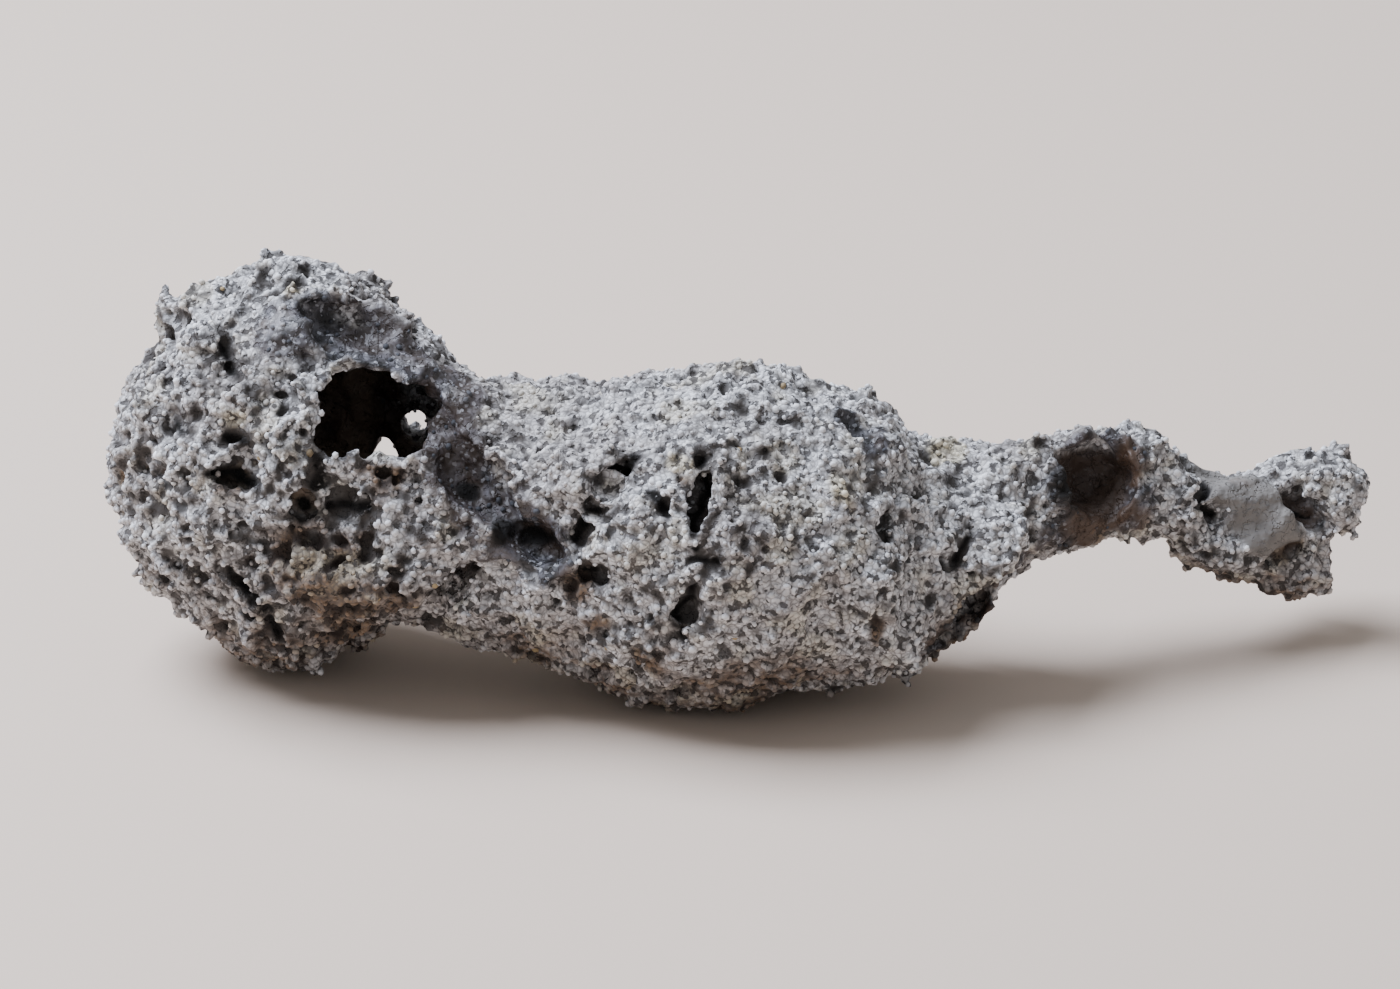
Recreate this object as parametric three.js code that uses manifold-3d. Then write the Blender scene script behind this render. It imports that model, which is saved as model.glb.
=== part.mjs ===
// A sand fulgurite: a tube of lightning-fused sand, about 120 mm long, lying on its side.
// From -X to +X it has a round broken bulb, a neck, a fat belly and a thin raised tail. It is one
// natural piece, so it is one solid: a lumpy wall with a hollow bulb, and the breaks that open it.
// Millimetres, +Z up, -Y towards the viewer, the surface it lies on at Z = 0.

import * as THREE from "three";
import { ImprovedNoise } from "three/addons/math/ImprovedNoise.js";
import { mergeVertices } from "three/addons/utils/BufferGeometryUtils.js";
import Module from "manifold-3d";

const wasm = await Module();
wasm.setup();

// The crust's middle line (x, y, z), its half-height r, and its depth as a share of its height.
const CRUST = [
  { x: -60.4, y: 5.0, z: 18.8, r: 0.0, deep: 0.9 },
  { x: -60.0, y: 5.0, z: 18.9, r: 5.4, deep: 0.9 },
  { x: -58.4, y: 5.0, z: 19.4, r: 8.9, deep: 0.9 },
  { x: -55.7, y: 5.2, z: 19.7, r: 12.7, deep: 0.9 },
  { x: -53.2, y: 5.3, z: 20.0, r: 15.4, deep: 0.89 },
  { x: -50.5, y: 5.4, z: 20.0, r: 17.4, deep: 0.88 },
  { x: -46.0, y: 5.4, z: 19.3, r: 19.2, deep: 0.88 },
  { x: -41.0, y: 5.0, z: 19.5, r: 19.6, deep: 0.88 },
  { x: -36.5, y: 4.4, z: 19.7, r: 18.3, deep: 0.88 },
  { x: -32.0, y: 3.0, z: 20.0, r: 15.5, deep: 0.92 },
  { x: -27.0, y: 1.5, z: 17.6, r: 13.9, deep: 0.96 },
  { x: -22.0, y: 0.0, z: 16.2, r: 13.5, deep: 1.0 },
  { x: -16.0, y: -1.8, z: 15.8, r: 14.1, deep: 1.04 },
  { x: -10.0, y: -3.2, z: 15.8, r: 15.5, deep: 1.05 },
  { x: -4.0, y: -4.0, z: 16.0, r: 16.1, deep: 1.04 },
  { x: 2.0, y: -4.0, z: 16.2, r: 15.7, deep: 1.02 },
  { x: 8.0, y: -3.7, z: 16.0, r: 14.8, deep: 1.0 },
  { x: 13.0, y: -3.0, z: 15.2, r: 13.4, deep: 1.0 },
  { x: 17.5, y: -1.7, z: 13.4, r: 10.2, deep: 1.0 },
  { x: 22.5, y: 0.2, z: 14.6, r: 9.0, deep: 0.98 },
  { x: 27.0, y: 2.3, z: 16.4, r: 6.8, deep: 0.95 },
  { x: 31.5, y: 4.7, z: 16.8, r: 6.3, deep: 0.95 },
  { x: 36.0, y: 6.6, z: 16.9, r: 6.2, deep: 0.95 },
  { x: 40.0, y: 8.1, z: 15.4, r: 5.7, deep: 0.95 },
  { x: 44.0, y: 9.3, z: 12.2, r: 5.5, deep: 0.95 },
  { x: 48.5, y: 10.6, z: 10.6, r: 6.5, deep: 0.95 },
  { x: 52.0, y: 11.7, z: 10.1, r: 6.9, deep: 0.95 },
  { x: 55.2, y: 12.2, z: 10.8, r: 5.4, deep: 0.95 },
  { x: 56.8, y: 12.5, z: 11.4, r: 3.0, deep: 0.95 },
  { x: 57.4, y: 12.5, z: 11.6, r: 0.0, deep: 0.95 },
];
const RINGS = 56;
const SIDES = 37;
const CRUST_STIR = 1.2;

// The hollow that the lightning left in the bulb, which narrows into the neck.
const BORE = [
  { x: -53.0, y: 5.6, z: 20.6, r: 0.0, deep: 0.9 },
  { x: -51.4, y: 5.6, z: 20.8, r: 5.4, deep: 0.9 },
  { x: -47.0, y: 4.8, z: 21.0, r: 10.6, deep: 0.94 },
  { x: -41.0, y: 4.0, z: 21.2, r: 12.8, deep: 0.95 },
  { x: -35.0, y: 3.4, z: 21.4, r: 11.8, deep: 0.96 },
  { x: -30.0, y: 2.8, z: 21.6, r: 10.4, deep: 0.96 },
  { x: -25.5, y: 1.8, z: 18.4, r: 5.4, deep: 1.0 },
  { x: -21.6, y: 0.6, z: 16.6, r: 3.4, deep: 1.0 },
  { x: -20.2, y: 0.4, z: 16.2, r: 0.0, deep: 1.0 },
];
const BORE_RINGS = 17;
const BORE_SIDES = 12;

// Lumps that cover the whole crust: their spacing and height. Creases lie between the first kind.
const CREASED_LUMPS = [
  { size: 10.5, height: 1.4 },
  { size: 4.7, height: 2.0 },
];
const ROUND_LUMPS = [
  { size: 6.0, height: 0.5 },
  { size: 2.4, height: 0.5 },
];
const CREASE_WIDTH = 0.06; // how softly a crease turns, as a share of the noise's height
const MEAN_LUMP = 0.52; // taken off, so that the lumps leave the tube's mean size as it is
const END_FADE = 4; // over this length from each end the lumps grow to their height

// Single swellings. An angle goes round the tube: 0 faces the viewer, 90 is the top, 180 the back.
const SWELLINGS = [
  { name: "bulb brow", x: -47.0, angle: 84, height: 1.2, radius: 6.0 },
  { name: "bulb chin", x: -38.0, angle: -20, height: 1.6, radius: 6.0 },
  { name: "bulb lobe by the neck", x: -31.5, angle: -8, height: 2.6, radius: 5.0 },
  { name: "neck lip", x: -20.0, angle: 40, height: 1.4, radius: 4.0 },
  { name: "belly front", x: -2.0, angle: 10, height: 1.0, radius: 8.0 },
  { name: "belly shoulder", x: 12.8, angle: 98, height: 1.5, radius: 3.2 },
  { name: "belly lower corner", x: 13.5, angle: -28, height: 1.8, radius: 4.0 },
  { name: "rim by the tail", x: 24.6, angle: 2, height: 1.6, radius: 3.4 },
  { name: "tail brow", x: 37.0, angle: 88, height: 0.9, radius: 3.0 },
  { name: "bulb foot, near", x: -43.5, angle: -72, height: 1.5, radius: 4.0 },
  { name: "bulb foot, far", x: -39.5, angle: -112, height: 2.2, radius: 4.0 },
  { name: "belly foot, near", x: -3.0, angle: -72, height: 1.3, radius: 4.0 },
  { name: "belly foot, far", x: 3.0, angle: -122, height: 4.0, radius: 4.4 },
  { name: "back lump of the bulb", x: -45.0, angle: 165, height: 1.6, radius: 7.0 },
  { name: "back lump of the belly", x: 3.0, angle: 172, height: 1.8, radius: 6.0 },
];

// Knobs fused onto the crust: size along the tube, round it, and out of it.
const KNOBS = [
  { name: "corner knob", x: -54.6, angle: 102, depth: -0.4, size: [1.7, 2.2, 2.8], turn: 10 },
  { name: "cluster on the break's rim", x: -41.2, angle: 40, depth: 1.6, size: [1.6, 3.0, 2.5], turn: -12 },
  { name: "tongue under the break", x: -41.8, angle: 24, depth: 2.2, size: [3.6, 4.6, 3.0], turn: 14 },
  { name: "tip's upper lobe", x: 55.8, angle: 70, depth: 1.6, size: [4.6, 4.6, 4.8], turn: 0 },
  { name: "pale knob on the tip", x: 57.0, angle: 96, depth: -3.0, size: [1.7, 1.8, 2.2], turn: 0 },
  { name: "tip's lower lip", x: 52.6, angle: -44, depth: 1.2, size: [4.7, 2.8, 2.4], turn: 0 },
  { name: "ledge by the tail", x: 24.8, angle: 6, depth: 0.8, size: [2.9, 2.8, 2.2], turn: 20 },
];

// Hollows broken or melted into the crust: size along the tube, round it, and into it. One with an
// aim goes in at that angle, instead of straight into the crust.
const HOLLOWS = [
  { name: "scoop over the break", x: -34.6, angle: 66, depth: -0.2, size: [9.2, 3.9, 2.7], turn: -8 },
  { name: "break into the bulb", x: -35.2, angle: 37.5, depth: 4.0, size: [5.7, 5.0, 10.0], turn: -8, aim: 8 },
  { name: "nick in the break's lower edge", x: -34.2, angle: 28, depth: 2.6, size: [1.1, 1.7, 7.0], turn: 0 },
  { name: "small hole by the break", x: -29.6, angle: 56, depth: 2.0, size: [1.7, 1.5, 6.0], turn: 0 },
  { name: "channel by the break", x: -29.6, angle: 44, depth: 0.4, size: [3.6, 2.8, 3.0], turn: -30 },
  { name: "channel down the neck", x: -25.0, angle: 30, depth: 0.6, size: [5.4, 3.0, 3.4], turn: -48 },
  { name: "channel's deep end", x: -19.8, angle: 14, depth: 1.0, size: [3.8, 2.1, 3.6], turn: -24 },
  { name: "crease under the bulb", x: -28.4, angle: -26, depth: -0.2, size: [5.0, 1.3, 3.0], turn: 58 },
  { name: "hollow in the bulb's face", x: -47.0, angle: 17, depth: 0.2, size: [2.6, 1.4, 2.6], turn: 8 },
  { name: "pit in the bulb's face", x: -41.2, angle: 6, depth: 0.3, size: [1.1, 0.9, 2.0], turn: 0 },
  { name: "slot in the bulb's face", x: -37.4, angle: 8, depth: 0.3, size: [2.3, 0.8, 2.0], turn: 10 },
  { name: "slot on the bulb's brow", x: -49.0, angle: 46, depth: 0.2, size: [0.9, 2.2, 1.8], turn: -20 },
  { name: "pit in the belly's shoulder", x: 10.9, angle: 74, depth: 0.3, size: [2.1, 1.7, 2.8], turn: 0 },
  { name: "pit by the channel", x: -14.4, angle: 5, depth: 0.2, size: [1.3, 1.0, 1.8], turn: 0 },
  { name: "break under the belly", x: 21.6, angle: -36, depth: 1.6, size: [5.6, 2.6, 5.6], turn: 34 },
  { name: "break into the tail", x: 33.4, angle: 30, depth: 1.2, size: [4.1, 4.3, 5.0], turn: 0 },
  { name: "fold across the tip", x: 53.4, angle: 38, depth: -0.2, size: [3.4, 1.0, 3.4], turn: -56 },
  { name: "hollow over the tip's lip", x: 52.6, angle: -4, depth: 0.4, size: [2.6, 1.2, 2.4], turn: 6 },
  { name: "notch in the tip", x: 58.4, angle: 6, depth: 3.2, size: [3.0, 1.2, 6.4], turn: 0 },
  { name: "hole through the bulb's back", x: -31.0, angle: 180, depth: 3.0, size: [1.4, 1.3, 8.0], turn: 0 },
  { name: "second hole in the back", x: -34.2, angle: 196, depth: 3.4, size: [1.3, 1.9, 7.0], turn: 0 },
  { name: "pit in the belly's back", x: -8.0, angle: 150, depth: 0.4, size: [3.0, 2.0, 3.4], turn: 25 },
  { name: "pit low in the back", x: 9.0, angle: 196, depth: 0.4, size: [2.2, 2.8, 3.0], turn: 0 },
  { name: "pit behind the neck", x: -22.0, angle: 164, depth: 0.3, size: [3.2, 1.8, 2.8], turn: -30 },
  { name: "pit behind the tail", x: 38.0, angle: 190, depth: 0.2, size: [1.8, 1.4, 2.0], turn: 0 },
];
const FINE = 1; // how often a knob or a hollow up to BROAD long is divided
const FINER = 2; // the same for a longer one
const BROAD = 4.4;
const ROUGHNESS = 0.22; // of a knob or hollow, as a share of its size

// Cooling cracks, each a chain of points (x, angle) on the crust.
const CRACKS = [
  { width: 1.0, points: [[-3.7, 51], [-3.2, 43], [-4.1, 35], [-4.7, 27], [-4.5, 18]] },
  { width: 0.8, points: [[-8.8, 38], [-7.0, 30], [-4.7, 31]] },
  { width: 0.8, points: [[-4.7, 4], [-4.9, -4], [-6.2, -11], [-5.9, -17]] },
  { width: 1.0, points: [[-10.2, 52], [-11.6, 44], [-12.9, 36], [-15.9, 18]] },
  { width: 0.8, points: [[14.6, 40], [13.4, 27], [14.2, 20]] },
  { width: 0.9, points: [[43.0, 80], [44.2, 50], [43.3, 26], [45.3, 22]] },
];
const CRACK_DEPTH = 2.4;

const FOOT_TRIM = 0.7; // how much of the lowest lumps is worn flat where the piece rests

const noise = new ImprovedNoise();
const noiseAt = (p, size, shift = 0) => noise.noise(p.x / size + shift, p.y / size + shift, p.z / size);

// The middle line and the half-height of a list of stations, as two curves of one parameter.
function curvesOf(stations) {
  const through = (points) => new THREE.CatmullRomCurve3(points, false, "catmullrom", 0.5);
  return {
    middle: through(stations.map((s) => new THREE.Vector3(s.x, s.y, s.z))),
    shape: through(stations.map((s) => new THREE.Vector3(s.x, s.r, s.deep))),
  };
}

// A closed tube with round ends through the stations, its rings evenly spaced along its outline.
// Every other ring is turned by half a facet, so that the facets are even triangles.
function tube(stations, rings, sides) {
  const { middle, shape } = curvesOf(stations);
  const spots = Array.from({ length: rings + 1 }, (_, i) => shape.getUtoTmapping(i / rings));
  const outline = spots.map((t, i) => {
    const { x, y: radius } = shape.getPoint(t);
    return new THREE.Vector2(i === 0 || i === rings ? 0 : radius, x);
  });
  const lathe = new THREE.LatheGeometry(outline, sides);
  const at = lathe.getAttribute("position");
  for (let i = 0; i < at.count; i++) {
    const ring = i % spots.length;
    const centre = middle.getPoint(spots[ring]);
    const share = shape.getPoint(spots[ring]).z;
    const off = new THREE.Vector2(at.getX(i), at.getZ(i));
    off.rotateAround(new THREE.Vector2(0, 0), ring % 2 ? Math.PI / sides : 0);
    at.setXYZ(i, at.getY(i), centre.y - share * off.x, centre.z + off.y);
  }
  return lathe;
}

// Keeps only the position and joins the vertices that lie on each other.
function joined(geometry) {
  const bare = geometry.index ? geometry.clone() : geometry;
  bare.deleteAttribute("normal");
  bare.deleteAttribute("uv");
  return mergeVertices(bare, 1e-4);
}

// Moves each vertex along its normal by what offset(point) gives, after a sideways stir that breaks
// up the even rows of facets.
function displaced(geometry, offset, stir = 0) {
  const made = joined(geometry);
  made.computeVertexNormals();
  const at = made.getAttribute("position");
  const normal = made.getAttribute("normal");
  const point = new THREE.Vector3();
  const out = new THREE.Vector3();
  for (let i = 0; i < at.count; i++) {
    point.fromBufferAttribute(at, i);
    out.fromBufferAttribute(normal, i);
    const around = new THREE.Vector3(noiseAt(point, 2, 7), noiseAt(point, 2, 17), noiseAt(point, 2, 27));
    point.addScaledVector(around.projectOnPlane(out), stir);
    point.addScaledVector(out, offset(point));
    at.setXYZ(i, point.x, point.y, point.z);
  }
  made.deleteAttribute("normal");
  return made;
}

function solid(geometry) {
  return new wasm.Manifold(
    new wasm.Mesh({
      numProp: 3,
      vertProperties: new Float32Array(geometry.getAttribute("position").array),
      triVerts: new Uint32Array(geometry.index.array),
    }),
  );
}

// The crust's own section at x, found on a fine walk along its curves.
const crustCurves = curvesOf(CRUST);
const WALK = 600;
const sections = Array.from({ length: WALK + 1 }, (_, i) => {
  const centre = crustCurves.middle.getPoint(i / WALK);
  const { y: radius, z: share } = crustCurves.shape.getPoint(i / WALK);
  return { centre, radius, share };
});
function sectionAt(x) {
  return sections.reduce((best, s) => (Math.abs(s.centre.x - x) < Math.abs(best.centre.x - x) ? s : best));
}

// The way out of the tube at an angle round it, and a point that deep under the crust.
function outwards(angle) {
  const a = THREE.MathUtils.degToRad(angle);
  return new THREE.Vector3(0, -Math.cos(a), Math.sin(a));
}
function underCrust(x, angle, depth) {
  const { centre, radius, share } = sectionAt(x);
  const out = outwards(angle);
  return new THREE.Vector3(x, centre.y + out.y * (radius * share - depth), centre.z + out.z * (radius - depth));
}

// How far the crust stands out at a point: rounded lumps with creases between them, and swellings.
// The lumps fade towards the two ends of the tube.
const swellings = SWELLINGS.map((s) => ({ ...s, middle: underCrust(s.x, s.angle, 0) }));
const ENDS = [CRUST[0].x, CRUST[CRUST.length - 1].x];
function crustRelief(point) {
  let out = 0;
  for (const { size, height } of CREASED_LUMPS) {
    out += height * (2 * Math.hypot(noiseAt(point, size, size), CREASE_WIDTH) - MEAN_LUMP);
  }
  for (const { size, height } of ROUND_LUMPS) out += height * noiseAt(point, size, 31);
  out *= Math.min(1, 0.3 + Math.abs(point.x - ENDS[0]) / END_FADE, 0.3 + Math.abs(point.x - ENDS[1]) / END_FADE);
  for (const s of swellings) out += s.height * Math.exp(-((point.distanceTo(s.middle) / s.radius) ** 2));
  return out;
}

// A roughened ellipsoid in the crust: one knob, or what cuts one hollow.
function blob({ x, angle, depth, size, turn, aim = angle }) {
  const along = new THREE.Vector3(1, 0, 0);
  const out = outwards(aim);
  const round = new THREE.Vector3().crossVectors(out, along);
  const stand = new THREE.Matrix4()
    .makeBasis(along, round, out)
    .setPosition(underCrust(x, angle, depth))
    .multiply(new THREE.Matrix4().makeRotationZ(THREE.MathUtils.degToRad(turn)))
    .scale(new THREE.Vector3(...size));
  const detail = size[0] > BROAD ? FINER : FINE;
  const ball = displaced(new THREE.IcosahedronGeometry(1, detail), (p) => {
    const broad = noise.noise(1.7 * p.x + x, 1.7 * p.y + angle, 1.7 * p.z);
    const fine = noise.noise(4 * p.x, 4 * p.y, 4 * p.z + x);
    return ROUGHNESS * (broad + 0.5 * fine);
  });
  return solid(ball.applyMatrix4(stand));
}

// One crack: thin boxes end to end along its points, standing into the wall.
function crack({ width, points }) {
  const ends = points.map(([x, angle]) => ({ at: underCrust(x, angle, 0), out: outwards(angle) }));
  let cut = null;
  for (let i = 1; i < ends.length; i++) {
    const from = ends[i - 1];
    const to = ends[i];
    const along = new THREE.Vector3().subVectors(to.at, from.at);
    const length = along.length() + width;
    along.normalize();
    const out = new THREE.Vector3().addVectors(from.out, to.out);
    out.addScaledVector(along, -out.dot(along)).normalize();
    const across = new THREE.Vector3().crossVectors(out, along);
    const taper = i === 1 || i === ends.length - 1 ? 0.75 : 1;
    const box = joined(new THREE.BoxGeometry(length, width * taper, 2 * CRACK_DEPTH));
    const middle = new THREE.Vector3().addVectors(from.at, to.at).multiplyScalar(0.5);
    box.applyMatrix4(new THREE.Matrix4().makeBasis(along, across, out).setPosition(middle));
    cut = cut ? cut.add(solid(box)) : solid(box);
  }
  return cut;
}

// Everything under the surface that the piece rests on.
function underFloor(floor) {
  const side = 400;
  return solid(joined(new THREE.BoxGeometry(side, side, side)).translate(0, 0, floor - side / 2));
}

function fulguriteSolid() {
  let wall = solid(displaced(tube(CRUST, RINGS, SIDES), crustRelief, CRUST_STIR));
  const bore = displaced(tube(BORE, BORE_RINGS, BORE_SIDES), (p) => 0.9 * noiseAt(p, 5, 11));
  for (const knob of KNOBS) wall = wall.add(blob(knob));
  wall = wall.subtract(solid(bore));
  for (const hollow of HOLLOWS) wall = wall.subtract(blob(hollow));
  for (const split of CRACKS) wall = wall.subtract(crack(split));
  return wall.subtract(underFloor(wall.boundingBox().min[2] + FOOT_TRIM));
}

// A three.js geometry of the largest body, with its box centred on X and Y and standing on Z = 0.
function geometryOf(made) {
  const body = made.decompose().reduce((a, b) => (b.volume() > a.volume() ? b : a));
  const mesh = body.getMesh();
  const at = new Float32Array(mesh.numVert * 3);
  for (let i = 0; i < mesh.numVert; i++) {
    at.set(mesh.vertProperties.subarray(i * mesh.numProp, i * mesh.numProp + 3), i * 3);
  }
  const geometry = new THREE.BufferGeometry()
    .setAttribute("position", new THREE.BufferAttribute(at, 3))
    .setIndex(new THREE.BufferAttribute(new Uint32Array(mesh.triVerts), 1));
  geometry.computeBoundingBox();
  const { min, max } = geometry.boundingBox;
  return geometry.translate(-(min.x + max.x) / 2, -(min.y + max.y) / 2, -min.z);
}

const crustMaterial = new THREE.MeshStandardMaterial({ color: 0xb4b2b4, roughness: 0.92, metalness: 0 });
const fulgurite = new THREE.Mesh(geometryOf(fulguriteSolid()), crustMaterial);
fulgurite.name = "fulgurite";

const specimen = new THREE.Group();
specimen.add(fulgurite);

export default specimen;
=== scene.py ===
"""Looks of a sand fulgurite: a lumpy crust of fused sand grains round a dark glassy hollow.

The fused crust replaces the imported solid. Sand grains are strewn over it by Geometry Nodes.
Sizes and places on the crust are in mm, and the scene itself is in metres.
"""

import itertools
import math

import bmesh  # noqa: E402
import bpy  # noqa: E402
import numpy as np  # noqa: E402
from bpy.props import FloatProperty, FloatVectorProperty, IntProperty, PointerProperty  # noqa: E402
from mathutils import Matrix, Vector  # noqa: E402
from mathutils.bvhtree import BVHTree  # noqa: E402


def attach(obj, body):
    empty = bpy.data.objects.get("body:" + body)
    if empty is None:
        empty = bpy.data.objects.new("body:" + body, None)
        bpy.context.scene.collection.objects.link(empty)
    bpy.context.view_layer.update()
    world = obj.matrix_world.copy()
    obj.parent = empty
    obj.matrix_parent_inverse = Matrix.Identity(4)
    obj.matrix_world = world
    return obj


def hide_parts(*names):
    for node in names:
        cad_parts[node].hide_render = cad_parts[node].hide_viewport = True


bl_info = {
    "name": "Sand fulgurite",
    "version": (1, 0, 0),
    "blender": (4, 5, 0),
    "location": "3D View > Sidebar > Fulgurite",
    "description": "Builds a fulgurite's fused crust, its strewn sand grains and a plain stage",
    "category": "Object",
}

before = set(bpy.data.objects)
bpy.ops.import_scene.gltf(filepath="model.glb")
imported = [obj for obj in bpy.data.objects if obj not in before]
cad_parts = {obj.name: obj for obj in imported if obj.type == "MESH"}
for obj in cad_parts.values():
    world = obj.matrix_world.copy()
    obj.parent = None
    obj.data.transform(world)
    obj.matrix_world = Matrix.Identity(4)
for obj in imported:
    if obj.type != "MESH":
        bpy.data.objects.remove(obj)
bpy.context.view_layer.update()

MM = 0.001
NODE = "fulgurite"
BODY = "root"

# The solid is stated round its own middle line. This is its shift to its bottom centre, in mm.
SOLID_SHIFT = np.array([0.169, -1.153, 0.456])

BLANK_FACET = 0.42  # mm, of the smoothed copy of the solid that the crust is raised from
BLANK_SMOOTHING = 3  # passes that round off the solid's facets
MELT_SMOOTHING = 1  # passes that round off the melted grains
RIDGE_SPACING = 1.3  # mm, between the ridges under the tail's break
RIDGE_WAY = np.array([0.64, 0.0, -0.77])  # across those ridges
BULB_EDGE = (-26.0, -34.0)  # mm along the tube, over which the neck becomes the bulb
HOLLOW_EDGE = (-24.0, -34.0)  # the same for the hollow inside them
TAIL_START = (0.0, 20.0)  # mm along the tube, over which the belly becomes the tail
MELTED_GRAINS_START = (0.55, 0.80)  # mm over the floor: the crust is worn bare below them
LOOSE_GRAINS_START = (0.35, 0.55)  # the same for the small loose grains
SWELL_HEIGHT = 0.20  # mm, of the broad swells in the crust
GLASS_HEIGHT = 0.32  # mm, of the lumps in the bare glass
RIDGE_HEIGHT = 0.3  # mm
CLUMP_LEVEL = 0.85  # the part of a clump's height that lies under the solid's own skin
CRACK_DEPTH = 1.7  # as a share of a pit's depth

# Scales of the materials' patterns, in features to the metre.
SAND_CLOUDS = 230.0  # patches of tone about 4 mm wide
FINE_GRAINS = 1650.0  # the finest grains are about 0.6 mm apart
GRAIN_BENDS = 1400.0  # noise 0.7 mm wide, which moves the fine grains
PORES = 1250.0  # pores about 0.4 mm wide, too small for the mesh, painted dark as shade
SOOT_CLOUDS = 650.0  # patches of soot about 1.5 mm wide
GLASS_GLINTS = 3000.0  # painted glints about 0.3 mm wide
GRAIN_SKIN = 3800.0  # the melted skin of a loose grain

# How smooth noise makes an outline wander: the noise's size and its reach in mm, and its seed.
STAIN_WANDER = (2.2, 0.9, 50)
CRACK_WANDER = (1.5, 0.24, 81)
CLUMP_WANDER = (3.0, 1.2, 11)
WORM_WANDER = (1.0, 0.3, 33)
CLUMP_SEED = 14

# The crust's smooth noises: size in mm, and seed.
NOISES = {
    "edge of bare glass": (1.3, 5),
    "thickness of the wall": (1.5, 3),
    "broad swells": (5.5, 17),
    "lumps in the glass": (1.9, 60),
    "ripples in the glass": (1.0, 61),
    "specks in the glass": (0.55, 62),
    "bends of the ridges": (2.5, 63),
    "pitted patches": (3.6, 43),
    "worm-like gaps": (0.95, 31),
    "round holes": (0.85, 47),
    "broad pits": (1.6, 49),
    "edge of a gap": (0.8, 91),
    "edge of the soil": (1.6, 71),
    "painted bounce low down": (4.0, 72),
    "patches of dust": (7.0, 76),
    "flecks of dust": (2.0, 77),
    "edge of a pale stain": (1.4, 73),
    "pale patches": (3.4, 74),
    "painted light in the hollow": (2.6, 78),
    "edge of a dark place": (1.2, 75),
}

# The tube's middle line: x, y, z, half-height and depth as a share of the height, in mm.
TUBE = np.array(
    [
        (-60.4, 5.0, 18.8, 0.4, 0.90),
        (-58.4, 5.0, 19.4, 8.9, 0.90),
        (-55.7, 5.2, 19.7, 12.7, 0.90),
        (-53.2, 5.3, 20.0, 15.4, 0.89),
        (-50.5, 5.4, 20.0, 17.4, 0.88),
        (-46.0, 5.4, 19.3, 19.2, 0.88),
        (-41.0, 5.0, 19.5, 19.6, 0.88),
        (-36.5, 4.4, 19.7, 18.3, 0.88),
        (-32.0, 3.0, 20.0, 15.5, 0.92),
        (-27.0, 1.5, 17.6, 13.9, 0.96),
        (-22.0, 0.0, 16.2, 13.5, 1.00),
        (-16.0, -1.8, 15.8, 14.1, 1.04),
        (-10.0, -3.2, 15.8, 15.5, 1.05),
        (-4.0, -4.0, 16.0, 16.1, 1.04),
        (2.0, -4.0, 16.2, 15.7, 1.02),
        (8.0, -3.7, 16.0, 14.8, 1.00),
        (13.0, -3.0, 15.2, 13.4, 1.00),
        (17.5, -1.7, 13.4, 10.2, 1.00),
        (22.5, 0.2, 14.6, 9.0, 0.98),
        (27.0, 2.3, 16.4, 6.8, 0.95),
        (31.5, 4.7, 16.8, 6.3, 0.95),
        (36.0, 6.6, 16.9, 6.2, 0.95),
        (40.0, 8.1, 15.4, 5.7, 0.95),
        (44.0, 9.3, 12.2, 5.5, 0.95),
        (48.5, 10.6, 10.6, 6.5, 0.95),
        (52.0, 11.7, 10.1, 6.9, 0.95),
        (55.2, 12.2, 10.8, 5.4, 0.95),
        (57.4, 12.5, 11.6, 0.4, 0.95),
    ]
)

# Where dark bore glass lies bare: half-width in mm, and the middle line as places on the tube, each
# the distance along it in mm and the angle round it (0 faces the viewer, 90 is the top).
GLASSY = {
    "scoop over the break": (
        4.7,
        [(-41.6, 63), (-39.6, 65), (-36.8, 66), (-33.4, 67), (-30.2, 67), (-27.6, 62)],
    ),
    "between the break and the channel": (3.0, [(-28.0, 66), (-27.6, 56), (-28.6, 47)]),
    "channel down the neck": (4.2, [(-28.8, 46), (-27.3, 40), (-26.0, 30), (-22.8, 18), (-19.0, 11)]),
    "pit in the belly's shoulder": (1.9, [(9.3, 77), (12.4, 72), (12.2, 62)]),
    "break into the tail": (4.6, [(31.6, 24), (35.4, 38), (33.0, 51)]),
    "ridges under the tail's break": (3.6, [(30.4, -20), (33.6, -10), (36.6, 2)]),
    "break under the belly": (3.7, [(18.4, -52), (21.4, -40), (24.8, -28)]),
}

# Smooth grey plates without grains, stated in the same way.
PLATES = {
    "plates on the tip": (3.9, [(45.2, 82), (46.0, 66), (48.4, 56), (48.6, 34), (50.6, 20)]),
}

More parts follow.
